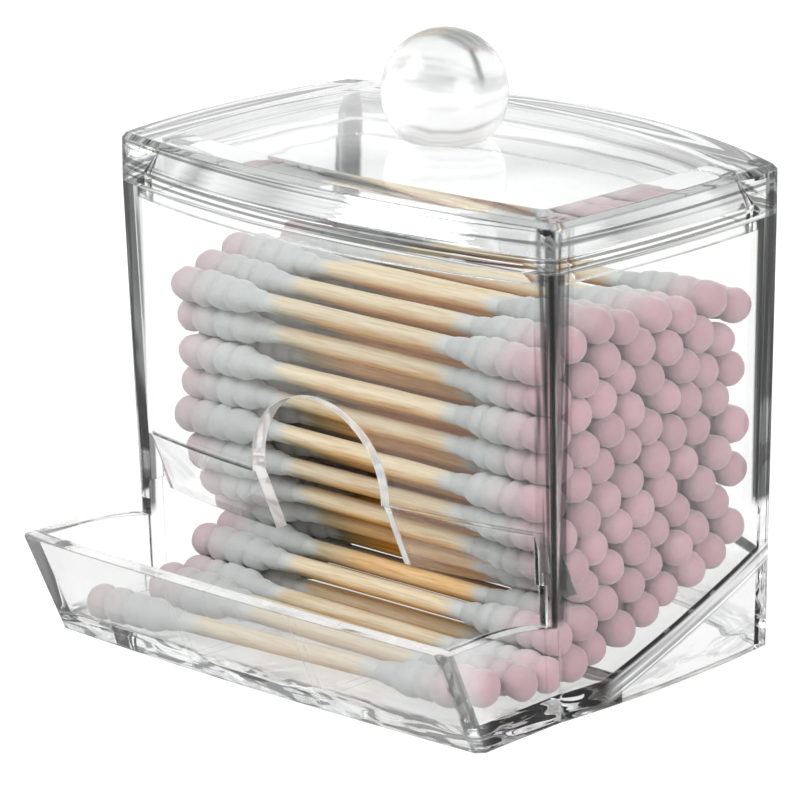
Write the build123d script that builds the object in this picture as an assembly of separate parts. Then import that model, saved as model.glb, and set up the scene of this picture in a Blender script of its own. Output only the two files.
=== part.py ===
"""Clear moulded cotton swab dispenser: a box with a front tray, a lift-off lid with a ball knob, and its swabs.

Millimetres, +Z up, the tray faces -Y, and the origin is under the middle of the whole on the table.
"""

import math
import os
import random

from build123d import *

# Body: four bowed walls. The sides and the front's corners come in a little from the mouth to the foot.
BODY_Y = 7.875  # the body's middle
CORNER_X = 43.4  # half width between the mouth's corners
CORNER_Y = 24.725  # half depth between the mouth's corners
FRONT_BOW = 6.8  # swell of the front wall beyond its corners, at the mouth
FRONT_FOOT_BOW = 4.5  # the same at the foot, where the front is flatter
BACK_BOW = 8.2
SIDE_BOW = 1.4
FRONT_LEAN = 2.6  # how far the front's corners come in from the mouth to the foot
BACK_LEAN = 0.0
SIDE_LEAN = 1.4
MOUTH_Z = 67.0  # height of the rim that the lid sits on
WALL = 2.75
OUTER_R = 1.1  # corner rounding outside
INNER_R = 1.0  # corner rounding of the lid's ring

# Each wall at the mouth: its turn about Z, half its chord, its bow, its distance from the body's middle, its lean.
FRONT = (0, CORNER_X, FRONT_BOW, CORNER_Y, FRONT_LEAN)
RIGHT = (90, CORNER_Y, SIDE_BOW, CORNER_X, SIDE_LEAN)
BACK = (180, CORNER_X, BACK_BOW, CORNER_Y, BACK_LEAN)
LEFT = (270, CORNER_Y, SIDE_BOW, CORNER_X, SIDE_LEAN)

# Floor: flat under the tray, then a ramp that rises to the back wall.
FLOOR_Z = 3.6
RAMP_START_Y = -4.5
RAMP_RISE = 0.342  # rise per mm of depth
RAMP_PLATE = 2.75  # thickness of the ramp, measured upright
HOLLOW_START_Y = 0.0  # the foot is solid in front of this and open behind it

# Tray: its front wall flares out from the foot to the rim.
RIM_Z = 16.4
TRAY_X = 43.5  # half width at the front
TRAY_REAR_X = 42.0
TRAY_FOOT_Y = -32.0
TRAY_RIM_Y = -39.75
TRAY_REAR_Y = -6.0
TRAY_BOW = 1.05
TRAY_CORNER = 1.0  # the corners are bevelled by this much
RIM_DIP = 3.4  # how far the side rims come down where they meet the body
RIM_LEVEL_TO_Y = -29.0  # the rim is level in front of this
RIM_DIP_Y = -10.0

# Front wall: its lower edge bends inwards as a lip, with an arched finger cut-out.
LIP_TOP_Z = 28.0
LIP_BOTTOM_Z = 18.0
LIP_SLANT = 0.45  # how far the lip comes in per mm of its height
LIP_STEP = 0.3  # the lip's face lies this far behind the wall's
POST_X = 39.0  # half the open front, between the posts at the corners
ARCH_R = 13.0
ARCH_Z = 29.0

# Lid: a slightly domed cap with a thick rim, and a ring that drops into the mouth.
LID_TOP_Z = 74.3  # height at the corners
DOME_RISE = 1.6  # how much higher the middle is
LID_PLATE = 2.6
LID_EDGE = 4.6  # from the outside of the rim to the hollow
HOLLOW_R = 4.6  # corner rounding of the hollow
HOLLOW_BEVEL = 3.6  # the hollow narrows by this much towards its ceiling
RING_DROP = 2.2
RING_GAP = 0.35
LID_EDGE_R = 0.7
KNOB_R = 9.5
KNOB_SEAT = 2.5  # how much of the ball is cut off where it is glued
KNOB_STEPS = 9  # the ball is turned in this many fine steps

# Swabs.
SWAB_LENGTH = 74.0
STICK_R = 1.5
STICK_SIDES = 5
TIP_LENGTH = 19.0
TIP_R = 2.6
TIP_SIDES = 5
TIP_ROUND = (1.1, 3.5)  # how much the end draws in, and over what length
TIP_NECK = (0.85, 7.0)  # the same where the cotton thins out along the stick
PACK_R = 2.66  # half the room that a tip takes in the heap
HEAP_X = 1.9  # the heap lies nearer to the right wall by this much
SHIFT_X = 0.6  # swabs lie this far out of line, end to end
HEAP_TOP_Z = 57.0  # no swab's middle is higher
HEAP_FRONT_Y = -18.2  # the heap's foot in the tray
HEAP_STEP = 0.1
LOOSE_Y = -26.5  # one swab lies apart in the tray, a little askew
LOOSE_YAW = 4.4
SEED = 5


def front_y(z):
    """Where the body's front corners stand at a height."""
    return BODY_Y - CORNER_Y + FRONT_LEAN * (MOUTH_Z - z) / MOUTH_Z


def floor_z(y):
    """Height of the floor and ramp."""
    return FLOOR_Z + max(0.0, y - RAMP_START_Y) * RAMP_RISE


def bow_radius(chord, bow):
    """Radius of an arc from half its chord and its bow."""
    return (chord**2 + bow**2) / (2 * bow)


def mouth_plan(inset, radius):
    """The outline of the mouth, moved inwards by an inset, with rounded corners."""
    outline = Rectangle(3 * CORNER_X, 3 * CORNER_X)
    for turn, chord, bow, reach, lean in (FRONT, RIGHT, BACK, LEFT):
        bow_r = bow_radius(chord, bow)
        outline &= Rot(0, 0, turn) * Pos(0, bow_r - bow - reach) * Circle(bow_r - inset)
    return Pos(0, BODY_Y, MOUTH_Z) * fillet(outline.vertices(), radius)


def front_arc(z, inset):
    """Radius and centre of the front wall's arc at a height, moved inwards by an inset."""
    bow = FRONT_FOOT_BOW + (FRONT_BOW - FRONT_FOOT_BOW) * z / MOUTH_Z
    radius = bow_radius(CORNER_X, bow)
    return radius - inset, front_y(z) - bow + radius


def front_section(z, inset):
    """All that lies behind the front wall at a height."""
    radius, centre_y = front_arc(z, inset)
    wide, rear = 1.2 * CORNER_X, 2 * CORNER_X
    end_y = centre_y - math.sqrt(radius**2 - wide**2)
    arc = ThreePointArc((-wide, end_y), (0, centre_y - radius), (wide, end_y))
    rest = Polyline((wide, end_y), (wide, rear), (-wide, rear), (-wide, end_y))
    return Pos(0, 0, z) * make_face((arc, rest))


def bowed_wall(chord, bow, reach, lean, inset):
    """All that lies behind a bowed wall that faces -Y: a wide drum, leaned about its front at the mouth's height."""
    bow_r = bow_radius(chord, bow)
    drum = Pos(0, bow_r, 0) * Cylinder(bow_r - inset, 3 * MOUTH_Z, rotation=(0, 0, 90))
    return Pos(0, -reach - bow, MOUTH_Z) * Rot(math.degrees(math.atan(lean)), 0, 0) * drum


def tall_edges(solid):
    """The edges that climb, from front to back."""
    return solid.edges().filter_by(lambda edge: edge.bounding_box().size.Z > 1).sort_by(Axis.Y)


def body_space(bottom, top, inset):
    """All that lies inside the four walls, each moved inwards by an inset."""
    space = loft((front_section(bottom, inset), front_section(top, inset)), ruled=True)
    for turn, chord, bow, reach, lean in (RIGHT, BACK, LEFT):
        wall = bowed_wall(chord, bow, reach, lean / MOUTH_Z, inset)
        space &= Pos(0, BODY_Y, 0) * Rot(0, 0, turn) * wall
    return space


def tray_space(bottom, top, inset):
    """All that lies inside the tray's flared front and its sides, each moved inwards by an inset."""
    flare = (TRAY_FOOT_Y - TRAY_RIM_Y) / RIM_Z
    mouth_y = TRAY_FOOT_Y - flare * MOUTH_Z
    half, rear, ahead = TRAY_X - inset, TRAY_REAR_X - inset, TRAY_RIM_Y - 10
    sides = Polyline((-half, ahead), (half, ahead), (rear, TRAY_REAR_Y), (-rear, TRAY_REAR_Y), close=True)
    space = Pos(0, 0, bottom) * extrude(make_face(sides), top - bottom)
    return space & bowed_wall(TRAY_X, TRAY_BOW, -mouth_y, flare, inset)


def side_prism(edges):
    """A solid across the whole width with the given outline in Y and Z."""
    return extrude(Plane.YZ * make_face(edges), 2 * CORNER_X, both=True)


def make_box():
    """The one-piece moulding."""
    far = 90.0

    # Outside: the body, and the tray with side rims that dip towards it.
    body = body_space(0, MOUTH_Z, 0)
    body = fillet(tall_edges(body), OUTER_R)
    tray = tray_space(0, RIM_Z, 0)
    tray = chamfer(tall_edges(tray)[:2], TRAY_CORNER)
    dip_mid = ((RIM_LEVEL_TO_Y + RIM_DIP_Y) / 2, RIM_Z - RIM_DIP * 0.28)
    dip = (
        ThreePointArc((RIM_LEVEL_TO_Y, RIM_Z), dip_mid, (RIM_DIP_Y, RIM_Z - RIM_DIP)),
        Line((RIM_DIP_Y, RIM_Z - RIM_DIP), (far, RIM_Z - RIM_DIP)),
        Line((far, RIM_Z - RIM_DIP), (far, far)),
        Line((far, far), (RIM_LEVEL_TO_Y, far)),
        Line((RIM_LEVEL_TO_Y, far), (RIM_LEVEL_TO_Y, RIM_Z)),
    )
    shell = body + (tray - side_prism(dip))

    # Inside: the room above the floor and ramp, and the hollow below the ramp.
    room = body_space(-1, MOUTH_Z + 1, WALL)
    above = Polyline(
        (-far, FLOOR_Z), (RAMP_START_Y, FLOOR_Z), (far, floor_z(far)), (far, 2 * far), (-far, 2 * far), close=True
    )
    below = Polyline(
        (HOLLOW_START_Y, -1),
        (HOLLOW_START_Y, floor_z(HOLLOW_START_Y) - RAMP_PLATE),
        (far, floor_z(far) - RAMP_PLATE),
        (far, -1),
        close=True,
    )
    shell -= room & side_prism(above)
    shell -= room & side_prism(below)

    # The tray's room, and the open front between the posts up to the lip.
    shell -= tray_space(FLOOR_Z, RIM_Z + 4, WALL)
    gap_front = front_y(MOUTH_Z) - FRONT_BOW
    shell -= Pos(0, (gap_front + TRAY_REAR_Y) / 2, (RIM_Z + LIP_TOP_Z) / 2) * Box(
        2 * POST_X, TRAY_REAR_Y - gap_front, LIP_TOP_Z - RIM_Z
    )

    # The lip follows the wall's bow and slants inwards. It starts a little inside the wall and the posts.
    lip_start = LIP_TOP_Z + 0.4
    radius, centre_y = front_arc(lip_start, 0)
    strip = Circle(radius - LIP_STEP) - Circle(radius - WALL + LIP_STEP)
    strip &= Pos(0, -radius) * Rectangle(2 * POST_X + WALL / 2, radius)
    drop = lip_start - LIP_BOTTOM_Z
    lip = extrude(strip, drop * math.hypot(LIP_SLANT, 1), dir=(0, LIP_SLANT, -1))
    shell += Pos(0, centre_y, lip_start) * lip

    # The arched finger cut-out goes through the wall and the lip.
    arch = Pos(0, ARCH_Z) * Circle(ARCH_R) + Pos(0, ARCH_Z - ARCH_R / 2) * Rectangle(2 * ARCH_R, ARCH_R)
    cutter = extrude(Plane.XZ * arch, 2 * FRONT_BOW, both=True)
    return shell - Pos(0, front_y(ARCH_Z), 0) * cutter


def dome(drop):
    """A wide ball whose top is the lid's domed face, lowered by a drop. Its poles lie to the sides."""
    radius = bow_radius(math.hypot(CORNER_X, CORNER_Y), DOME_RISE)
    return Pos(0, BODY_Y, LID_TOP_Z + DOME_RISE - radius) * Rot(90, 0, 0) * Sphere(radius - drop)


def make_lid():
    """The cap: flush with the body outside, with a locating ring inside the mouth."""
    tall = LID_TOP_Z + 2 * DOME_RISE - MOUTH_Z
    cap = extrude(mouth_plan(0, OUTER_R), tall) & dome(0)
    cap = chamfer(cap.faces().sort_by(Axis.Z)[-1].edges(), LID_EDGE_R)
    ring = extrude(mouth_plan(WALL + RING_GAP, INNER_R), -RING_DROP)
    opening = mouth_plan(LID_EDGE, HOLLOW_R)
    hollow = extrude(opening, tall) & dome(LID_PLATE)
    hollow = chamfer(hollow.faces().sort_by(Axis.Z)[-1].edges(), HOLLOW_BEVEL)
    return cap + ring - hollow - extrude(opening, -RING_DROP)


def make_knob():
    """A ball with a flat seat on the lid."""
    seat = KNOB_SEAT - KNOB_R
    seat_turn = math.acos(seat / KNOB_R)
    profile = [(0, seat)]
    for step in range(KNOB_STEPS + 1):
        turn = seat_turn * (1 - step / KNOB_STEPS)
        profile.append((KNOB_R * math.sin(turn), KNOB_R * math.cos(turn)))
    ball = revolve(Plane.XZ * make_face(Polyline(*profile, close=True)), Axis.Z)
    return Pos(0, BODY_Y, LID_TOP_Z + DOME_RISE - seat) * ball


def heap():
    """Settle swabs one by one at the lowest free place, and return their (y, z)."""
    rng = random.Random(SEED)
    end_x = SWAB_LENGTH / 2 + HEAP_X + SHIFT_X
    bow_r = bow_radius(CORNER_X, BACK_BOW)
    middle_y = BODY_Y + CORNER_Y + BACK_BOW - bow_r
    back_limit = middle_y + math.sqrt((bow_r - WALL) ** 2 - end_x**2) - PACK_R
    columns = int((back_limit - HEAP_FRONT_Y) / HEAP_STEP)
    placed = []

    def front_face(z):
        radius, centre_y = front_arc(z, WALL)
        return centre_y - math.sqrt(radius**2 - end_x**2)

    def front_limit(z):
        if z > LIP_TOP_Z:
            return front_face(z) + PACK_R
        if z > LIP_BOTTOM_Z - PACK_R:
            return front_face(LIP_TOP_Z) + (LIP_TOP_Z - z) * LIP_SLANT + PACK_R * math.hypot(1, LIP_SLANT)
        return HEAP_FRONT_Y + (z - FLOOR_Z - PACK_R)

    while True:
        room = 2 * PACK_R * (1 + 0.02 * rng.random())
        best = None
        for column in range(columns):
            y = HEAP_FRONT_Y + column * HEAP_STEP
            z = floor_z(y) + PACK_R * (math.hypot(1, RAMP_RISE) if y > RAMP_START_Y else 1)
            for other_y, other_z in placed:
                gap = abs(y - other_y)
                if gap < room:
                    z = max(z, other_z + math.sqrt(room**2 - gap**2))
            if y >= front_limit(z) and (best is None or z < best[1]):
                best = (y, z)
        if best is None or best[1] > HEAP_TOP_Z:
            return placed
        placed.append(best)


def make_swabs():
    """Equal sticks and tips, laid along X in the heap, and one loose swab in the tray."""
    stick_length = SWAB_LENGTH - 2 * TIP_LENGTH
    stick = extrude(Plane.YZ * RegularPolygon(STICK_R, STICK_SIDES), stick_length / 2, both=True)
    tip = extrude(Plane.YZ * RegularPolygon(TIP_R, TIP_SIDES), TIP_LENGTH)
    end = tip.faces().sort_by(Axis.X)[-1]
    tip = chamfer(end.edges(), *TIP_ROUND, reference=end)
    neck = tip.faces().sort_by(Axis.X)[0]
    tip = Pos(stick_length / 2, 0, 0) * chamfer(neck.edges(), *TIP_NECK, reference=neck)

    rng = random.Random(SEED)
    places = []
    for y, z in heap():
        x = HEAP_X + rng.uniform(-SHIFT_X, SHIFT_X)
        places.append(Pos(x, y, z) * Rot(rng.uniform(0, 60), 0, 0))
    places.append(Pos(0, LOOSE_Y, FLOOR_Z + PACK_R) * Rot(0, 0, LOOSE_YAW))
    sticks = [place * stick for place in places]
    tips = [place * Rot(0, 0, turn) * tip for place in places for turn in (0, 180)]
    return Compound(sticks), Compound(tips)


if __name__ == "__main__":
    os.makedirs("parts", exist_ok=True)
    export_step(make_box(), "parts/box.step")
    export_step(make_lid(), "parts/lid.step")
    export_step(make_knob(), "parts/knob.step")
    sticks, tips = make_swabs()
    export_step(sticks, "parts/swab_sticks.step")
    export_step(tips, "parts/swab_tips.step")
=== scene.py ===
"""Looks for the clear cotton swab dispenser: clear plastic, cotton tips on wooden sticks, and a white studio."""

import math
import random

import bpy
import numpy as np
from mathutils import Matrix, Vector, noise


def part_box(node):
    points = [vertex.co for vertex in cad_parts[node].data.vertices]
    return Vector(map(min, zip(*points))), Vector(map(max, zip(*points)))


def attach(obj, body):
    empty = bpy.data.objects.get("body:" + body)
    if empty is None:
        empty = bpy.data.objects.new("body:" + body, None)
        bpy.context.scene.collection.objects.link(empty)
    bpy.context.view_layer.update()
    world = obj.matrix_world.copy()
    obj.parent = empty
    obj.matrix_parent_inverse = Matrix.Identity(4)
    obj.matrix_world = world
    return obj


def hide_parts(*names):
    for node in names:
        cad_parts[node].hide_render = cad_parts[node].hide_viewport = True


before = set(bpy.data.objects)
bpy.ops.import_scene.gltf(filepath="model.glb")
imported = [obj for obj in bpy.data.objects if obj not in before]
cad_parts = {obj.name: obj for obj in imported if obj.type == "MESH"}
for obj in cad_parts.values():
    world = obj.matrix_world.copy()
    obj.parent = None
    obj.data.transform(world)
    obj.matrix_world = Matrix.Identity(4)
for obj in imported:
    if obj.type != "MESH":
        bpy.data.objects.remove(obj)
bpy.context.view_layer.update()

MM = 0.001
FULL_TURN = 2 * math.pi

# Camera, from the photograph's viewing angle.
AZIMUTH = math.radians(42.83)
ELEVATION = math.radians(15.67)
DISTANCE = 790.5 * MM
AIM = Vector((0.0, -0.05, 42.0)) * MM
AIM_RIGHT = -1.465 * MM  # from the aim to the middle of the picture
AIM_UP = -4.646 * MM
SENSOR = 36
LENS = 239.4
ROLL = math.radians(-0.31)
CLIP_END = 50

# Swabs.
SWAB_LENGTH = 74 * MM
SWAY = math.radians(0.35)  # how far a swab may lie out of line
# Swabs inside the heap get painted shade on their sticks.
NEIGHBOUR = 7.155 * MM  # swabs nearer than this lie side by side
FEW_NEIGHBOURS = 4  # up to this many, a swab lies on the outside of the heap
MORE_NEIGHBOURS = 2  # with this many more, it lies well inside
SEED = 11

# Sticks.
STICK_R = 1.45 * MM
STICK_RINGS = 16
STICK_SEGMENTS = 14
STICK_IN_TIP = 1.5 * MM
STICK_UNEVEN = 0.04
STICK_WAVES = 60  # unevenness per metre
FLUFF_REACH = 7 * MM
PAINTED_SHADE_SLOPE = 1.9  # how the painted shade grows towards the underside
PAINTED_SHADE_START = 0.75

# Cotton tips. Shares are of the tip's length, from its neck.
TIP_LENGTH = 19 * MM
TIP_R = 2.78 * MM
TIP_RINGS = 44
TIP_SEGMENTS = 24
RING_CROWDING = 1.2  # above 1, rings stand closer at the round end
TIP_END = 0.9995
TIP_LOBES = 5
LOBE_DEPTH = 0.30  # how far the valleys between the lobes go in
LOBE_HUMP = 0.92
LOBE_LENGTHS = (0.8, 1.2)
LAST_LOBE = 1.35  # the round end is longer than the other lobes
LOBE_SIZES = (0.95, 1.03)
LOBE_TILT = 0.045
ROUND_START = 0.25  # how far before the last lobe's middle the round end begins, and how full it is
ROUND_POWER = 2.7
SQUASH = (0.94, 1.0)
NECK_SHARE = 0.40
NECK_R = 0.56
LUMPS = (11, 1.5, 0.06)  # noise along and around the tip, and its depth
FINE_LUMPS = (2.7, 0.03)  # the same, finer by this much, and its depth
NOISE_SPREAD = 50  # each piece reads the noise somewhere within this distance

# Knob.
KNOB_R = 9.5 * MM
KNOB_SEAT = 2.5 * MM  # what is cut off the ball where it meets the lid
KNOB_RINGS = 60
KNOB_SEGMENTS = 96
KNOB_POLE = 0.0005  # the last ring at the top, as a share of the radius

# Clear plastic: tint, refraction, softness and the width of the rounded edges and their lines of painted shade.
BOX_PLASTIC = ((0.985, 0.992, 0.99), 1.5, 0.0, 0.36 * MM)
KNOB_PLASTIC = ((0.985, 0.99, 0.988), 1.49, 0.16, 0.3 * MM)
SHADE_TINT = (0.97, 0.975, 0.97, 1.0)  # what is left of the light that lamps send through a face
SMEAR = 0.03  # how much rougher the plastic gets in places
RELIEF = 0.4 * MM

# Painted shade in the corner posts of the body, and in the tray's front corners, which lean forwards. Here and
# below, pairs of values are where a fade begins and ends.
BODY_Y = 7.875 * MM
POST_X = 42.0 * MM
POST_Y = 23.4 * MM
POST_R = (2.5 * MM, 3.0 * MM)
POST_FOOT = 14.0 * MM  # where the painted shade of the front and back posts begins
BACK_POST_FOOT = 22.0 * MM
POST_FADE = 2.0 * MM
BACK_Y = (18.0 * MM, 22.0 * MM)
TRAY_X = 42.7 * MM
TRAY_Y = -31.6 * MM
TRAY_FLARE = 0.4726
TRAY_R = (1.3 * MM, 1.9 * MM)
STRAND_SCALE = (900.0, 900.0, 14.0)
POST_STRANDS = (0.40, 0.56)
BACK_STRANDS = (0.46, 0.66)
# Painted shade: grey strands in the front posts, nearly black ones in the back posts.
POST_PAINTED_SHADES = ((0.06, 0.062, 0.062), (0.72, 0.73, 0.73))
BACK_POST_PAINTED_SHADES = ((0.01, 0.0105, 0.0105), (0.12, 0.124, 0.124))

# Ripples, strongest in the foot, and the foot's eddies and the level layers in the lid, both darkened with
# painted shade.
RIPPLE_SCALE = 60.0
FOOT_Z = (2.5 * MM, 5.5 * MM)
FOOT_RIPPLE = (3.0, 1.0)
FOOT_STRENGTH = (0.9, 0.10)
EDDY_STRETCH = (1.0, 1.0, 5.0)
EDDY_SCALE = 110.0
EDDY_TWIST = 1.6
EDDY_SHARE = (0.47, 0.58)
EDDY_Z = (3.8 * MM, 4.8 * MM)
EDDY_Y = (-30.0 * MM, -22.0 * MM)
EDDY_BEHIND = 0.3  # how much of the eddies is left behind the tray
LAYER_SCALE = (12.0, 12.0, 1300.0)
LAYER_RELIEF = 0.35
LAYER_SHARE = (0.54, 0.62)
# Painted shade: the dark colour of the eddies and layers.
PAINTED_STREAK_SHADE = (0.10, 0.103, 0.103)
UPRIGHT = (0.45, 0.55)  # how far the normal of a wall may lean from level

# Lid: where it begins, its dome, the bevel round its top and the painted shade on it, and its outline as each
# wall's middle and radius.
LID_Z = 67.0 * MM
LID_FADE = 0.5 * MM
LAYER_FADE = 0.2 * MM
LAYER_TOP = (76.0 * MM, 76.4 * MM)
DOME_Z = 75.9 * MM
DOME_R = 780.5 * MM
LID_EDGE = (0.8 * MM, 1.05 * MM)
LID_BEVEL_PAINTED_SHADE = (0.30, 0.31, 0.31)
WALLS = (
    ((0.0, 118.25 * MM, 0.0), 141.9 * MM),
    ((0.0, -78.15 * MM, 0.0), 118.95 * MM),
    ((174.23 * MM, 7.875 * MM, 0.0), 219.03 * MM),
    ((-174.23 * MM, 7.875 * MM, 0.0), 219.03 * MM),
)
PAST_WALLS = 1.0

# Painted shade: dark lines where the rounded normal turns away from the face's own.
LINE_TURN = (0.80, 0.97)
EDGE_LINE_PAINTED_SHADE = (0.28, 0.285, 0.285)

# Milky faces: the tray's scuffed front, and painted light on the finger notch, the ends of the ramp's plate and
# the lid's seat.
SCUFF_Y = (-33.0 * MM, -29.0 * MM)
SCUFF = 0.16
MILKY_SCUFF_AND_PAINTED_LIGHT = 0.92
NOTCH_R = 13.0 * MM
NOTCH_Z = 29.0 * MM
NOTCH_Y = (-9.0 * MM, -8.0 * MM)
NOTCH_OFF = (0.05 * MM, 0.2 * MM)
# Painted highlight: how milky the notch's cut face is.
NOTCH_PAINTED_HIGHLIGHT = 0.55
RAMP_Y = -4.5 * MM  # where the ramp begins, its height there and its rise, to the middle of the plate
RAMP_Z = 2.2 * MM
RAMP_RISE = 0.342
RAMP_OFF = (1.2 * MM, 2.0 * MM)
RAMP_X = (41.0 * MM, 41.4 * MM)
RAMP_START = (-6.0 * MM, -1.0 * MM)
# Painted light: how milky the plate's ends are, and their light and dark streaks.
RAMP_PAINTED_LIGHT = 0.75
RAMP_SCALE = (300.0, 25.0, 1500.0)
RAMP_SHARE = (0.40, 0.62)
RAMP_PAINTED_GREYS = (0.22, 0.97)
# Painted light and painted shade on the lid's seat: how milky it is, and its light and dark streaks.
SEAT_OFF = (0.03 * MM, 0.06 * MM)
SEAT_LEVEL = (0.90, 0.95)
SEAT_PAINTED_LIGHT = 0.85
SEAT_X = (37.5 * MM, 38.5 * MM)  # past this the seat's streaks run along the side walls
SEAT_SCALES = ((14.0, 900.0, 1.0), (900.0, 14.0, 1.0))
SEAT_SHARE = (0.38, 0.60)
SEAT_PAINTED_GREYS = (0.10, 0.95)

# Cotton: colours from the neck to the round end, with patches and fibres. Tips on the left are paler.
COTTON_COLOURS = (
    (0.0, (0.48, 0.50, 0.495)),
    (0.42, (0.50, 0.51, 0.51)),
    (0.72, (0.53, 0.41, 0.435)),
    (1.0, (0.49, 0.29, 0.325)),
)
COTTON_TONES = (0.9, 1.1)
PATCH_SCALE = 420.0
PATCH_REACH = 0.24
PALER_X = (-10.0 * MM, 10.0 * MM)
PALER = 0.8
FIBRE_SCALE = 2600.0
FIBRE_STRENGTH = 0.35
FIBRE_DEPTH = 0.2 * MM
COTTON_ROUGHNESS = 0.95
COTTON_SHEEN = 0.45
COTTON_SHEEN_ROUGHNESS = 0.5
COTTON_SPECULAR = 0.1

# Wood: grain in lit colours and in painted-shade colours, painted green shade on the left, wisps of cotton, and
# the light that glows through.
WOOD_COLOURS = ((0.3, (0.60, 0.46, 0.29)), (0.5, (0.70, 0.59, 0.41)), (0.72, (0.75, 0.66, 0.51)))
# Painted shade: the wood's colours where it lies in shade, on undersides and inside the heap.
PAINTED_SHADE_COLOURS = ((0.3, (0.66, 0.26, 0.03)), (0.5, (0.86, 0.43, 0.07)), (0.72, (0.90, 0.53, 0.14)))
# Painted shade: a green shade for the wood in shade on the left, where it fades and how strong it is.
PAINTED_GREEN_SHADE = (0.08, 0.16, 0.10)
GREEN_X = (-15.0 * MM, -2.0 * MM)
GREEN_SHARE = 0.85
WOOD_TONES = (0.9, 1.08)
GRAIN_STRETCH = (0.06, 1.0, 1.0)
GRAIN_SCALE = 2200.0
GRAIN_ROUGHNESS = 0.6
GRAIN_STRENGTH = 0.25
GRAIN_DEPTH = 0.1 * MM
WISP_SCALE = 1500.0
WISP_SHARE = (0.25, 0.80)
WISP_COLOUR = (0.56, 0.58, 0.57)
WOOD_ROUGHNESS = 0.7
WOOD_SPECULAR = 0.3
GLOW_SHARE = 0.5
GLOW_TINT = (0.95, 0.72, 0.42, 1.0)
GLOW_IN_SHADOW = (0.475, 0.36, 0.21, 1.0)

# Studio: the table, what bent rays see by height, and the lamps (place, size, watts, seen in the plastic).
FLOOR_SIZE = 6.0
FLOOR_Z = -0.2 * MM
FLOOR_GREY = 0.45
FLOOR_GLOW = 0.70
FLOOR_IN_GLOSS = 0.3
SKY_LIGHT = 0.45
SKY_DRIFT = 0.22
SKY_DRIFT_SCALE = 2.2
SKY_BANDS = (
    (0.0, 1.0),
    (0.22, 1.0),
    (0.27, 0.40),
    (0.32, 0.95),
    (0.40, 0.75),
    (0.45, 1.0),
    (0.50, 0.45),
    (0.54, 0.95),
    (0.64, 0.60),
    (0.70, 1.0),
    (0.75, 0.90),
    (0.80, 0.06),
    (0.96, 0.20),
)
LAMPS = {
    "key_lamp": ((-0.5, -0.6, 0.7), 0.6, 7, True),
    "side_lamp": ((0.85, -0.15, 0.32), 0.5, 6, True),
    "back_lamp": ((-0.35, 0.85, 0.5), 0.6, 3, False),
}
LAMP_AIM = Vector((0, 0, 0.035))


def new_material(name):
    """A material with an empty tree but for its output and a Principled shader."""
    material = bpy.data.materials.new(name)
    material.use_nodes = True
    tree = material.node_tree
    return material, tree, tree.nodes["Principled BSDF"]


def add(tree, kind, inputs=None, **settings):
    """A node with its settings and input values, or links where an input is a socket."""
    node = tree.nodes.new(kind)
    for name, value in settings.items():
        setattr(node, name, value)
    for name, value in (inputs or {}).items():
        if isinstance(value, bpy.types.NodeSocket):
            tree.links.new(value, node.inputs[name])
        else:
            node.inputs[name].default_value = value
    return node


def ramp(tree, factor, *stops):
    """A colour ramp with (position, colour) stops."""
    node = tree.nodes.new("ShaderNodeValToRGB")
    tree.links.new(factor, node.inputs["Fac"])
    elements = node.color_ramp.elements
    while len(elements) < len(stops):
        elements.new(0.5)
    for element, (position, colour) in zip(elements, stops):
        element.position = position
        element.color = (*colour, 1.0)
    return node.outputs["Color"]


def maths(tree, operation, *values):
    """The result of a Math node."""
    return add(tree, "ShaderNodeMath", dict(enumerate(values)), operation=operation).outputs[0]


def times(tree, first, second):
    """The product of two values."""
    return maths(tree, "MULTIPLY", first, second)


def larger(tree, first, *others):
    """The largest of several values."""
    for other in others:
        first = maths(tree, "MAXIMUM", first, other)
    return first


def past(tree, value, middle):
    """How far a value lies past another."""
    return maths(tree, "SUBTRACT", value, middle)


def size_of(tree, value):
    """A value without its sign."""
    return maths(tree, "ABSOLUTE", value)


def across_both(tree, first, second):
    """The distance that two lengths at right angles make."""
    squares = (maths(tree, "POWER", length, 2.0) for length in (first, second))
    return maths(tree, "SQRT", maths(tree, "ADD", *squares))


def fade(tree, value, low, high, to_low=0.0, to_high=1.0):
    """A smooth step from one value to another."""
    inputs = {"Value": value, "From Min": low, "From Max": high, "To Min": to_low, "To Max": to_high}
    return add(tree, "ShaderNodeMapRange", inputs, interpolation_type="SMOOTHSTEP").outputs["Result"]


def spread(tree, value, low, high):
    """A value from 0 to 1 as one between two others."""
    return add(tree, "ShaderNodeMapRange", {"Value": value, "To Min": low, "To Max": high}).outputs["Result"]


def grey(level):
    """A colour without hue."""
    return (level, level, level)


def blended(tree, share, first, second):
    """A colour mix of two colours or sockets."""
    node = add(tree, "ShaderNodeMix", data_type="RGBA")
    for name, value in (("Factor", share), ("A", first), ("B", second)):
        if isinstance(value, bpy.types.NodeSocket):
            tree.links.new(value, node.inputs[name])
        else:
            node.inputs[name].default_value = (*value, 1.0)
    return node.outputs["Result"]


def scaled(tree, colour, factor):
    """A colour made lighter or darker."""
    node = add(tree, "ShaderNodeVectorMath", {0: colour}, operation="SCALE")
    tree.links.new(factor, node.inputs["Scale"])
    return node.outputs[0]


def mixed(tree, share, first, second):
    """A mix of two shader nodes."""
    return add(tree, "ShaderNodeMixShader", {0: share, 1: first.outputs[0], 2: second.outputs[0]})


def finished(tree, shader):
    """Links a shader node to the material's output."""
    tree.links.new(shader.outputs[0], tree.nodes["Material Output"].inputs["Surface"])


def split(tree, vector):
    """The X, Y and Z of a vector."""
    return add(tree, "ShaderNodeSeparateXYZ", {"Vector": vector}).outputs


def clouds(tree, place, scale, detail=1.0, **inputs):
    """Noise from 0 to 1."""
    inputs = {"Vector": place, "Scale": scale, "Detail": detail, **inputs}
    return add(tree, "ShaderNodeTexNoise", inputs).outputs["Fac"]


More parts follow.
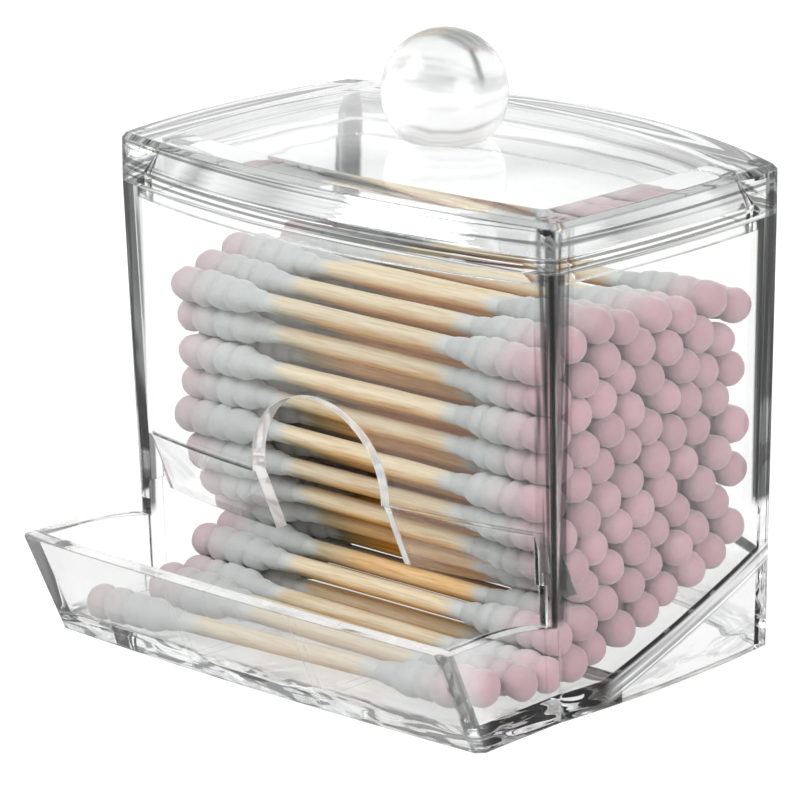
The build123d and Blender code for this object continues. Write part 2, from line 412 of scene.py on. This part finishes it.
def stretched(tree, place, scale, turn=0.0):
    """Noise that is drawn out into streaks."""
    inputs = {"Vector": place, "Rotation": (turn, 0.0, 0.0), "Scale": tuple(1 / value for value in scale)}
    drawn = add(tree, "ShaderNodeMapping", inputs, vector_type="TEXTURE")
    return clouds(tree, drawn.outputs["Vector"], 1.0)


def distance_to(tree, place, point):
    """The distance of a place from a point."""
    return add(tree, "ShaderNodeVectorMath", {0: place, 1: point}, operation="DISTANCE").outputs["Value"]


def corner_posts(tree, axes):
    """1 in the four upright corners of the body, where the plastic is thick and gets painted shade, fading out
    around them.
    """
    beside = past(tree, size_of(tree, axes["X"]), POST_X)
    behind = past(tree, size_of(tree, past(tree, axes["Y"], BODY_Y)), POST_Y)
    away = across_both(tree, beside, behind)
    foot = fade(tree, axes["Y"], *BACK_Y, POST_FOOT, BACK_POST_FOOT)
    above = fade(tree, past(tree, axes["Z"], foot), 0.0, POST_FADE)
    return times(tree, fade(tree, away, *POST_R, 1.0, 0.0), above)


def tray_corners(tree, axes):
    """1 along the two front corners of the tray, which lean forwards and get painted shade."""
    beside = past(tree, size_of(tree, axes["X"]), TRAY_X)
    lean = times(tree, axes["Z"], TRAY_FLARE)
    behind = maths(tree, "ADD", past(tree, axes["Y"], TRAY_Y), lean)
    return fade(tree, across_both(tree, beside, behind), *TRAY_R, 1.0, 0.0)


def lid_bevel(tree, place, axes):
    """1 on the narrow bevel round the top of the lid, which gets painted shade."""
    level = add(tree, "ShaderNodeVectorMath", {0: place, 1: (1.0, 1.0, 0.0)}, operation="MULTIPLY").outputs[0]
    inset = PAST_WALLS
    for middle, radius in WALLS:
        inset = maths(tree, "MINIMUM", past(tree, radius, distance_to(tree, level, middle)), inset)
    out = distance_to(tree, level, (0.0, BODY_Y, 0.0))
    sag = maths(tree, "DIVIDE", maths(tree, "POWER", out, 2.0), 2 * DOME_R)
    depth = past(tree, past(tree, DOME_Z, sag), axes["Z"])
    return fade(tree, maths(tree, "ADD", inset, depth), *LID_EDGE, 1.0, 0.0)


def cut_face(tree, axes):
    """1 on the cut face of the finger notch, which gets a painted highlight."""
    above = larger(tree, past(tree, axes["Z"], NOTCH_Z), 0.0)
    off = size_of(tree, past(tree, across_both(tree, axes["X"], above), NOTCH_R))
    front = fade(tree, axes["Y"], *NOTCH_Y, 1.0, 0.0)
    return times(tree, fade(tree, off, *NOTCH_OFF, 1.0, 0.0), front)


def ramp_edge(tree, axes):
    """1 on the outside of the side walls, where the ramp's plate ends: painted light, milky with streaks, stands
    for the light that the plate carries out.
    """
    rise = times(tree, past(tree, axes["Y"], RAMP_Y), RAMP_RISE)
    off = size_of(tree, past(tree, axes["Z"], maths(tree, "ADD", rise, RAMP_Z)))
    outside = fade(tree, size_of(tree, axes["X"]), *RAMP_X)
    behind = fade(tree, axes["Y"], *RAMP_START)
    return times(tree, times(tree, fade(tree, off, *RAMP_OFF, 1.0, 0.0), outside), behind)


def lid_seat(tree, axes, facing):
    """The share of painted light, milky white, on the level faces where the lid rests on the mouth."""
    near = fade(tree, size_of(tree, past(tree, axes["Z"], LID_Z)), *SEAT_OFF, SEAT_PAINTED_LIGHT, 0.0)
    return times(tree, near, fade(tree, facing, *SEAT_LEVEL))


def plastic_colour(tree, place, axes, tint, layers, facing, lines):
    """The plastic's tint with painted shade on it: grey posts, dark eddies in the foot, dark layers in the lid,
    and dark bevel and edge lines.
    """
    strands = stretched(tree, place, STRAND_SCALE)
    # Painted shade: grey strands in the thick corners, darker at the back.
    front = blended(tree, fade(tree, strands, *POST_STRANDS), *POST_PAINTED_SHADES)
    back = blended(tree, fade(tree, strands, *BACK_STRANDS), *BACK_POST_PAINTED_SHADES)
    dark = blended(tree, fade(tree, axes["Y"], *BACK_Y), front, back)
    posts = larger(tree, corner_posts(tree, axes), tray_corners(tree, axes))

    drawn = add(tree, "ShaderNodeMapping", {"Vector": place, "Scale": EDDY_STRETCH}).outputs["Vector"]
    eddies = fade(tree, clouds(tree, drawn, EDDY_SCALE, Distortion=EDDY_TWIST), *EDDY_SHARE)
    in_foot = times(tree, fade(tree, axes["Z"], *EDDY_Z, 1.0, 0.0), eddies)
    in_foot = times(tree, in_foot, fade(tree, axes["Y"], *EDDY_Y, 1.0, EDDY_BEHIND))

    above = fade(tree, axes["Z"], LID_Z, LID_Z + LAYER_FADE)
    in_lid = times(tree, above, fade(tree, axes["Z"], *LAYER_TOP, 1.0, 0.0))
    on_rim = times(tree, fade(tree, layers, *LAYER_SHARE), in_lid)
    upright = fade(tree, facing, *UPRIGHT, 1.0, 0.0)
    painted_streaks = times(tree, upright, larger(tree, in_foot, on_rim))

    # Painted shade: dark streaks on the eddies and layers.
    marked = blended(tree, painted_streaks, blended(tree, posts, tint, dark), PAINTED_STREAK_SHADE)
    # Painted shade on the lid's bevel.
    edged = blended(tree, lid_bevel(tree, place, axes), marked, LID_BEVEL_PAINTED_SHADE)
    # Painted shade: dark edge lines.
    return blended(tree, lines, edged, EDGE_LINE_PAINTED_SHADE)


def milky_scuff_and_painted_light(tree, place, axes, facing):
    """How milky each face is, from scuffs and from painted light, and the shader of the milky part."""
    front = fade(tree, axes["Y"], *SCUFF_Y, SCUFF, 0.0)
    # Painted highlight: the notch's cut face is milky white.
    cut = times(tree, cut_face(tree, axes), NOTCH_PAINTED_HIGHLIGHT)
    plate = ramp_edge(tree, axes)
    seat = lid_seat(tree, axes, facing)
    share = larger(tree, front, cut, times(tree, plate, RAMP_PAINTED_LIGHT), seat)

    # Painted light: streaky light and dark greys where the ramp's plate ends.
    streaks = stretched(tree, place, RAMP_SCALE, math.atan(RAMP_RISE))
    plate_colour = blended(tree, fade(tree, streaks, *RAMP_SHARE), *map(grey, RAMP_PAINTED_GREYS))
    # Painted light and painted shade: light and dark streaks on the lid's seat.
    beside = fade(tree, size_of(tree, axes["X"]), *SEAT_X)
    along, across = (stretched(tree, place, scale) for scale in SEAT_SCALES)
    rings = maths(tree, "ADD", along, times(tree, beside, past(tree, across, along)))
    seat_colour = blended(tree, fade(tree, rings, *SEAT_SHARE), *map(grey, SEAT_PAINTED_GREYS))
    # The milky colour of the scuff and of the painted highlight and painted light.
    colour = blended(tree, plate, blended(tree, seat, grey(MILKY_SCUFF_AND_PAINTED_LIGHT), seat_colour), plate_colour)
    return share, add(tree, "ShaderNodeBsdfDiffuse", {"Color": colour})


def clear_plastic(name, tint, ior, soft, edge):
    """Polished clear moulding, with painted shade along its edges and thick corners, and painted light on some
    faces. Lamps shine through it.
    """
    material, tree, shader = new_material(name)
    place = add(tree, "ShaderNodeTexCoord").outputs["Object"]
    axes = split(tree, place)

    # Ripples all over, strong ones in the foot, and level layers in the lid.
    ripple = clouds(tree, place, RIPPLE_SCALE)
    layers = stretched(tree, place, LAYER_SCALE)
    level = times(tree, layers, fade(tree, axes["Z"], LID_Z, LID_Z + LID_FADE, 0.0, LAYER_RELIEF))
    swirl = times(tree, ripple, fade(tree, axes["Z"], *FOOT_Z, *FOOT_RIPPLE))
    rounded = add(tree, "ShaderNodeBevel", {"Radius": edge}, samples=1).outputs["Normal"]
    relief = {
        "Height": maths(tree, "ADD", swirl, level),
        "Strength": fade(tree, axes["Z"], *FOOT_Z, *FOOT_STRENGTH),
        "Distance": RELIEF,
        "Normal": rounded,
    }
    bump = add(tree, "ShaderNodeBump", relief)

    flat = add(tree, "ShaderNodeNewGeometry").outputs["Normal"]
    same = add(tree, "ShaderNodeVectorMath", {0: rounded, 1: flat}, operation="DOT_PRODUCT").outputs["Value"]
    # Painted shade where the rounded normal turns away from the face's own.
    lines = fade(tree, same, *LINE_TURN, 1.0, 0.0)
    facing = size_of(tree, split(tree, flat)["Z"])
    colour = plastic_colour(tree, place, axes, tint, layers, facing, lines)
    tree.links.new(colour, shader.inputs["Base Color"])
    tree.links.new(spread(tree, ripple, soft, soft + SMEAR), shader.inputs["Roughness"])
    tree.links.new(bump.outputs["Normal"], shader.inputs["Normal"])
    shader.inputs["IOR"].default_value = ior
    shader.inputs["Transmission Weight"].default_value = 1.0

    # The scuff's milkiness and the painted light and highlight, as a diffuse share.
    share, milk_and_painted_light = milky_scuff_and_painted_light(tree, place, axes, facing)
    body = mixed(tree, share, shader, milk_and_painted_light)
    path = add(tree, "ShaderNodeLightPath").outputs
    through = larger(tree, path["Is Shadow Ray"], path["Is Diffuse Ray"])
    clear = add(tree, "ShaderNodeBsdfTransparent", {"Color": SHADE_TINT})
    finished(tree, mixed(tree, through, body, clear))
    return material


def cotton():
    """Wound cotton: dusty pink at the end, pale grey towards the stick, with fibres."""
    material, tree, shader = new_material("cotton_pink")
    place = add(tree, "ShaderNodeTexCoord").outputs["Object"]
    along = add(tree, "ShaderNodeAttribute", attribute_name="along").outputs["Fac"]
    tone = add(tree, "ShaderNodeAttribute", attribute_name="tone").outputs["Fac"]
    patch = clouds(tree, place, PATCH_SCALE)
    uneven = maths(tree, "MULTIPLY_ADD", patch, PATCH_REACH, -PATCH_REACH / 2)
    reach = maths(tree, "ADD", along, uneven)
    paler = fade(tree, split(tree, place)["X"], *PALER_X, PALER, 1.0)
    dyed = ramp(tree, times(tree, reach, paler), *COTTON_COLOURS)
    tree.links.new(scaled(tree, dyed, spread(tree, tone, *COTTON_TONES)), shader.inputs["Base Color"])
    fibre = clouds(tree, place, FIBRE_SCALE, 2.0)
    relief = {"Height": fibre, "Strength": FIBRE_STRENGTH, "Distance": FIBRE_DEPTH}
    tree.links.new(add(tree, "ShaderNodeBump", relief).outputs["Normal"], shader.inputs["Normal"])
    shader.inputs["Roughness"].default_value = COTTON_ROUGHNESS
    shader.inputs["Sheen Weight"].default_value = COTTON_SHEEN
    shader.inputs["Sheen Roughness"].default_value = COTTON_SHEEN_ROUGHNESS
    shader.inputs["Specular IOR Level"].default_value = COTTON_SPECULAR
    return material


def stick_wood():
    """Pale planed wood with long grain, with painted shade, darker and orange, on the undersides and inside the
    heap, green on the left, and cotton fluff where the tips begin.
    """
    material, tree, shader = new_material("stick_wood")
    place = add(tree, "ShaderNodeTexCoord").outputs["Object"]
    tone = add(tree, "ShaderNodeAttribute", attribute_name="tone").outputs["Fac"]
    painted_shade = add(tree, "ShaderNodeAttribute", attribute_name="painted_shade").outputs["Fac"]
    fluff = add(tree, "ShaderNodeAttribute", attribute_name="fluff").outputs["Fac"]
    long = add(tree, "ShaderNodeMapping", {"Vector": place, "Scale": GRAIN_STRETCH}).outputs["Vector"]
    grain = clouds(tree, long, GRAIN_SCALE, 2.0, Roughness=GRAIN_ROUGHNESS)
    planed = ramp(tree, grain, *WOOD_COLOURS)
    # Painted shade: orange wood on the undersides and inside the heap.
    painted_shade_wood = ramp(tree, grain, *PAINTED_SHADE_COLOURS)
    # Painted shade: the shaded wood turns green on the left.
    painted_green_share = fade(tree, split(tree, place)["X"], *GREEN_X, GREEN_SHARE, 0.0)
    wood = blended(tree, painted_shade, planed, blended(tree, painted_green_share, painted_shade_wood, PAINTED_GREEN_SHADE))
    toned = scaled(tree, wood, spread(tree, tone, *WOOD_TONES))
    wisps = clouds(tree, long, WISP_SCALE, 2.0)
    covered = fade(tree, maths(tree, "ADD", fluff, past(tree, wisps, 0.5)), *WISP_SHARE)
    tree.links.new(blended(tree, covered, toned, WISP_COLOUR), shader.inputs["Base Color"])
    relief = {"Height": grain, "Strength": GRAIN_STRENGTH, "Distance": GRAIN_DEPTH}
    tree.links.new(add(tree, "ShaderNodeBump", relief).outputs["Normal"], shader.inputs["Normal"])
    shader.inputs["Roughness"].default_value = WOOD_ROUGHNESS
    shader.inputs["Specular IOR Level"].default_value = WOOD_SPECULAR

    path = add(tree, "ShaderNodeLightPath").outputs
    glow = add(tree, "ShaderNodeBsdfTransparent", {"Color": GLOW_TINT})
    body = mixed(tree, times(tree, path["Is Diffuse Ray"], GLOW_SHARE), shader, glow)
    dim = add(tree, "ShaderNodeBsdfTransparent", {"Color": GLOW_IN_SHADOW})
    finished(tree, mixed(tree, path["Is Shadow Ray"], body, dim))
    return material


def swab_places():
    """Each swab's middle and direction, read from the CAD sticks."""
    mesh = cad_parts["swab_sticks"].data
    points = np.array([vertex.co[:] for vertex in mesh.vertices])
    _, merged = np.unique(np.round(points, 7), axis=0, return_inverse=True)
    merged = merged.ravel()
    owner = list(range(merged.max() + 1))

    def root(index):
        while owner[index] != index:
            owner[index] = owner[owner[index]]
            index = owner[index]
        return index

    for edge in mesh.edges:
        a, b = (root(merged[vertex]) for vertex in edge.vertices)
        owner[a] = b
    groups = {}
    for index, point in zip(merged, points):
        groups.setdefault(root(index), []).append(point)
    places = []
    for group in groups.values():
        group = np.array(group)
        right = group[group[:, 0] > group[:, 0].mean()].mean(axis=0)
        left = group[group[:, 0] <= group[:, 0].mean()].mean(axis=0)
        places.append((Vector((right + left) / 2), Vector(right - left).normalized()))
    return sorted(places, key=lambda place: tuple(round(value, 5) for value in place[0]))


def tube(stations, segments):
    """Vertices and faces of a closed round form from (distance, radius function of angle) stations along X."""
    vertices, faces = [], []
    for distance, radius in stations:
        for step in range(segments):
            angle = FULL_TURN * step / segments
            reach = radius(angle)
            vertices.append((distance, reach * math.cos(angle), reach * math.sin(angle)))
    for ring in range(len(stations) - 1):
        for step in range(segments):
            after = (step + 1) % segments
            a, b = ring * segments + step, ring * segments + after
            faces.append((a, b, b + segments, a + segments))
    faces.append(tuple(range(segments))[::-1])
    last = (len(stations) - 1) * segments
    faces.append(tuple(range(last, last + segments)))
    return vertices, faces


def tip_form(rng):
    """One wound tip along +X from its neck at 0: a round end, lobes behind it, and a long thin neck."""
    offset = Vector([rng.uniform(-NOISE_SPREAD, NOISE_SPREAD) for _ in range(3)])
    cuts = [0.0]
    for lobe in range(TIP_LOBES):
        cuts.append(cuts[-1] + (LAST_LOBE if lobe == TIP_LOBES - 1 else 1.0) * rng.uniform(*LOBE_LENGTHS))
    cuts = [cut / cuts[-1] for cut in cuts]
    sizes = [rng.uniform(*LOBE_SIZES) for _ in range(TIP_LOBES)]
    tilts = [(rng.uniform(0.0, LOBE_TILT), rng.uniform(0, FULL_TURN)) for _ in range(TIP_LOBES + 1)]
    squash, turn = rng.uniform(*SQUASH), rng.uniform(0, math.pi)

    def radius_at(share):
        def radius(angle):
            cut = 0
            for index in range(1, TIP_LOBES):
                tilt, way = tilts[index]
                if share > cuts[index] + tilt * math.cos(angle - way):
                    cut = index
            low, high = cuts[cut], cuts[cut + 1]
            local = min(max(2 * (share - low) / (high - low) - 1, -1.0), 1.0)
            hump = math.sqrt(max(0.0, 1 - (LOBE_HUMP * local) ** 2))
            reach = sizes[cut] * (1 - LOBE_DEPTH * (1 - hump))
            if cut == TIP_LOBES - 1 and local > -ROUND_START:
                full = (local + ROUND_START) / (1 + ROUND_START)
                reach = sizes[cut] * math.sqrt(max(0.0, 1 - full**ROUND_POWER))
            grown = min(1.0, share / NECK_SHARE)
            neck = NECK_R + (1 - NECK_R) * grown * grown * (3 - 2 * grown)
            reach *= neck * (1 - (1 - squash) * math.cos(angle - turn) ** 2)
            along, around, deep = LUMPS
            where = offset + Vector((share * along, math.cos(angle) * around, math.sin(angle) * around))
            finer, fine = FINE_LUMPS
            rough = 1 + deep * noise.noise(where) + fine * noise.noise(where * finer)
            return TIP_R * reach * rough

        return radius

    shares = [1 - (1 - step / (TIP_RINGS - 1)) ** RING_CROWDING for step in range(TIP_RINGS)]
    stations = [(share * TIP_LENGTH, radius_at(min(share, TIP_END))) for share in shares]
    vertices, faces = tube(stations, TIP_SEGMENTS)
    return vertices, faces, {"along": [share for share in shares for _ in range(TIP_SEGMENTS)]}


def stick_form(rng, inside):
    """One stick along X with slightly uneven sides. Its underside, and sticks inside the heap, get painted shade
    in warmer colours.
    """
    half = SWAB_LENGTH / 2 - TIP_LENGTH + STICK_IN_TIP
    offset = Vector((*(rng.uniform(-NOISE_SPREAD, NOISE_SPREAD) for _ in range(2)), 0))

    def radius_at(distance):
        def radius(angle):
            where = offset + Vector((distance * STICK_WAVES, math.cos(angle), math.sin(angle)))
            return STICK_R * (1 + STICK_UNEVEN * noise.noise(where))

        return radius

    stations = []
    for step in range(STICK_RINGS):
        distance = -half + 2 * half * step / (STICK_RINGS - 1)
        stations.append((distance, radius_at(distance)))
    vertices, faces = tube(stations, STICK_SEGMENTS)
    # The painted shade attribute: warmer on the underside and on sticks inside the heap.
    painted_shade, fluff = [], []
    for along, beside, up in vertices:
        under = 0.5 - 0.5 * up / math.hypot(beside, up)
        painted_shade.append(max(inside, min(1.0, max(0.0, PAINTED_SHADE_SLOPE * under - PAINTED_SHADE_START))))
        fluff.append(max(0.0, 1 - (half - abs(along)) / FLUFF_REACH))
    return vertices, faces, {"painted_shade": painted_shade, "fluff": fluff}


def joined(name, forms, material):
    """One smooth mesh object from (vertices, faces, attributes, matrix) forms."""
    vertices, faces, attributes = [], [], {}
    for form_vertices, form_faces, form_attributes, matrix in forms:
        start = len(vertices)
        vertices += [matrix @ Vector(vertex) for vertex in form_vertices]
        faces += [tuple(start + index for index in face) for face in form_faces]
        for attribute, values in form_attributes.items():
            attributes.setdefault(attribute, []).extend(values)
    mesh = bpy.data.meshes.new(name)
    mesh.from_pydata(vertices, [], faces)
    for attribute, values in attributes.items():
        mesh.attributes.new(attribute, "FLOAT", "POINT").data.foreach_set("value", values)
    mesh.materials.append(material)
    mesh.shade_smooth()
    piece = bpy.data.objects.new(name, mesh)
    bpy.context.collection.objects.link(piece)
    return piece


def toned(rng, form, matrix):
    """A form for joined, with one tone of its own."""
    vertices, faces, attributes = form
    return vertices, faces, {**attributes, "tone": [rng.random()] * len(vertices)}, matrix


def dress_swabs():
    """Detailed sticks and tips in the place of the plain CAD ones."""
    rng = random.Random(SEED)
    sticks, left_tips, right_tips = [], [], []
    neck = Matrix.Translation((SWAB_LENGTH / 2 - TIP_LENGTH, 0, 0))
    places = swab_places()
    for middle, direction in places:
        # How far inside the heap a swab lies sets the painted shade of its stick.
        near = sum(0 < (other - middle).length < NEIGHBOUR for other, _ in places)
        inside = min(1.0, max(0.0, (near - FEW_NEIGHBOURS) / MORE_NEIGHBOURS))
        aim = direction + Vector((0, rng.uniform(-SWAY, SWAY), rng.uniform(-SWAY, SWAY)))
        place = Matrix.Translation(middle) @ aim.to_track_quat("X", "Z").to_matrix().to_4x4()
        sticks.append(toned(rng, stick_form(rng, inside), place))
        for turn, tips in ((0, right_tips), (math.pi, left_tips)):
            matrix = place @ Matrix.Rotation(turn, 4, "Z") @ neck
            tips.append(toned(rng, tip_form(rng), matrix))
    wood, soft = stick_wood(), cotton()
    for name, forms, material, node, slot in (
        ("wooden_sticks", sticks, wood, "swab_sticks", "stick_wood"),
        ("left_cotton_tips", left_tips, soft, "swab_tips", "tip_cotton"),
        ("right_cotton_tips", right_tips, soft, "swab_tips", "tip_cotton"),
    ):
        piece = joined(name, forms, material)
        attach(piece, "box")
        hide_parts(node)


def knob_form():
    """A smooth ball along X, cut off where it meets the lid."""
    low = math.acos(KNOB_SEAT / KNOB_R - 1)
    stations = []
    for step in range(KNOB_RINGS):
        turn = low * (1 - step / (KNOB_RINGS - 1))
        reach = KNOB_R * max(math.sin(turn), KNOB_POLE)
        stations.append((KNOB_R * math.cos(turn), lambda angle, reach=reach: reach))
    return tube(stations, KNOB_SEGMENTS)


def dress_plastic():
    """Clear plastic on the box and the lid, and a smooth ball for the knob."""
    plastic = clear_plastic("clear_plastic", *BOX_PLASTIC)
    for node in ("box", "lid"):
        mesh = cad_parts[node].data
        mesh.materials.clear()
        mesh.materials.append(plastic)
    low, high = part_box("knob")
    middle = Vector(((low[0] + high[0]) / 2, (low[1] + high[1]) / 2, high[2] - KNOB_R))
    upright = Matrix.Translation(middle) @ Matrix.Rotation(-math.pi / 2, 4, "Y")
    ball = clear_plastic("knob_plastic", *KNOB_PLASTIC)
    piece = joined("ball_knob", [(*knob_form(), {}, upright)], ball)
    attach(piece, "lid")
    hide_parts("knob")


def make_floor():
    """A wide white table that keeps the shadow."""
    mesh = bpy.data.meshes.new("floor")
    corners = [(x * FLOOR_SIZE, y * FLOOR_SIZE, FLOOR_Z) for x, y in ((-1, -1), (1, -1), (1, 1), (-1, 1))]
    mesh.from_pydata(corners, [], [(0, 1, 2, 3)])
    floor = bpy.data.objects.new("floor", mesh)
    bpy.context.collection.objects.link(floor)
    material, tree, shader = new_material("white_table")
    shader.inputs["Base Color"].default_value = (*grey(FLOOR_GREY), 1)
    shader.inputs["Roughness"].default_value = 1.0
    shader.inputs["Specular IOR Level"].default_value = 0.0
    path = add(tree, "ShaderNodeLightPath").outputs
    glossy = times(tree, path["Is Glossy Ray"], FLOOR_IN_GLOSS)
    seen = larger(tree, path["Is Camera Ray"], path["Is Transmission Ray"], glossy)
    glow = add(tree, "ShaderNodeEmission", {"Strength": times(tree, seen, FLOOR_GLOW)})
    finished(tree, add(tree, "ShaderNodeAddShader", {0: shader.outputs[0], 1: glow.outputs[0]}))
    mesh.materials.append(material)


def make_world():
    """White all round for the eye. Reflections and bent rays see grey bands, as of a studio's lamps and walls."""
    world = bpy.data.worlds.new("studio")
    bpy.context.scene.world = world
    world.use_nodes = True
    tree = world.node_tree
    background = tree.nodes["Background"]
    direction = add(tree, "ShaderNodeTexCoord").outputs["Generated"]
    drift = past(tree, clouds(tree, direction, SKY_DRIFT_SCALE), 0.5)
    level = maths(tree, "ADD", split(tree, direction)["Z"], times(tree, drift, SKY_DRIFT))
    room = ramp(tree, level, *((height, grey(value)) for height, value in SKY_BANDS))
    path = add(tree, "ShaderNodeLightPath").outputs
    bent = larger(tree, path["Is Glossy Ray"], path["Is Transmission Ray"])
    tree.links.new(blended(tree, bent, grey(1.0), room), background.inputs["Color"])
    tree.links.new(spread(tree, path["Is Diffuse Ray"], 1.0, SKY_LIGHT), background.inputs["Strength"])


def make_lamp(name, place, size, watts, seen):
    """A square soft lamp aimed at the object."""
    light = bpy.data.lights.new(name, "AREA")
    light.shape = "SQUARE"
    light.size = size
    light.energy = watts
    lamp = bpy.data.objects.new(name, light)
    bpy.context.collection.objects.link(lamp)
    lamp.location = place
    lamp.rotation_euler = (LAMP_AIM - Vector(place)).to_track_quat("-Z", "Y").to_euler()
    lamp.visible_glossy = seen
    lamp.visible_transmission = seen


def make_camera():
    """The photograph's view."""
    level = math.cos(ELEVATION)
    back = Vector((math.sin(AZIMUTH) * level, -math.cos(AZIMUTH) * level, math.sin(ELEVATION)))
    right = Vector((math.cos(AZIMUTH), math.sin(AZIMUTH), 0))
    up = back.cross(right)
    data = bpy.data.cameras.new("camera")
    data.sensor_width = SENSOR
    data.lens = LENS
    data.clip_end = CLIP_END
    camera = bpy.data.objects.new("camera", data)
    bpy.context.collection.objects.link(camera)
    camera.location = AIM + back * DISTANCE
    look = AIM + right * AIM_RIGHT + up * AIM_UP - camera.location
    turn = look.to_track_quat("-Z", "Y").to_matrix() @ Matrix.Rotation(ROLL, 3, "Z")
    camera.rotation_euler = turn.to_euler()
    bpy.context.scene.camera = camera


make_camera()
make_floor()
make_world()
for lamp_name, lamp_values in LAMPS.items():
    make_lamp(lamp_name, *lamp_values)
dress_plastic()
dress_swabs()

# Plain colours, and settings that keep the render short.
scene = bpy.context.scene
scene.view_settings.view_transform = "Standard"
scene.world.cycles.sampling_method = "NONE"
scene.cycles.debug_use_spatial_splits = True
scene.cycles.light_sampling_threshold = 0.05
scene.cycles.caustics_reflective = False
scene.cycles.caustics_refractive = False
scene.cycles.max_bounces = 10
scene.cycles.diffuse_bounces = 2
scene.cycles.glossy_bounces = 5
scene.cycles.transmission_bounces = 10
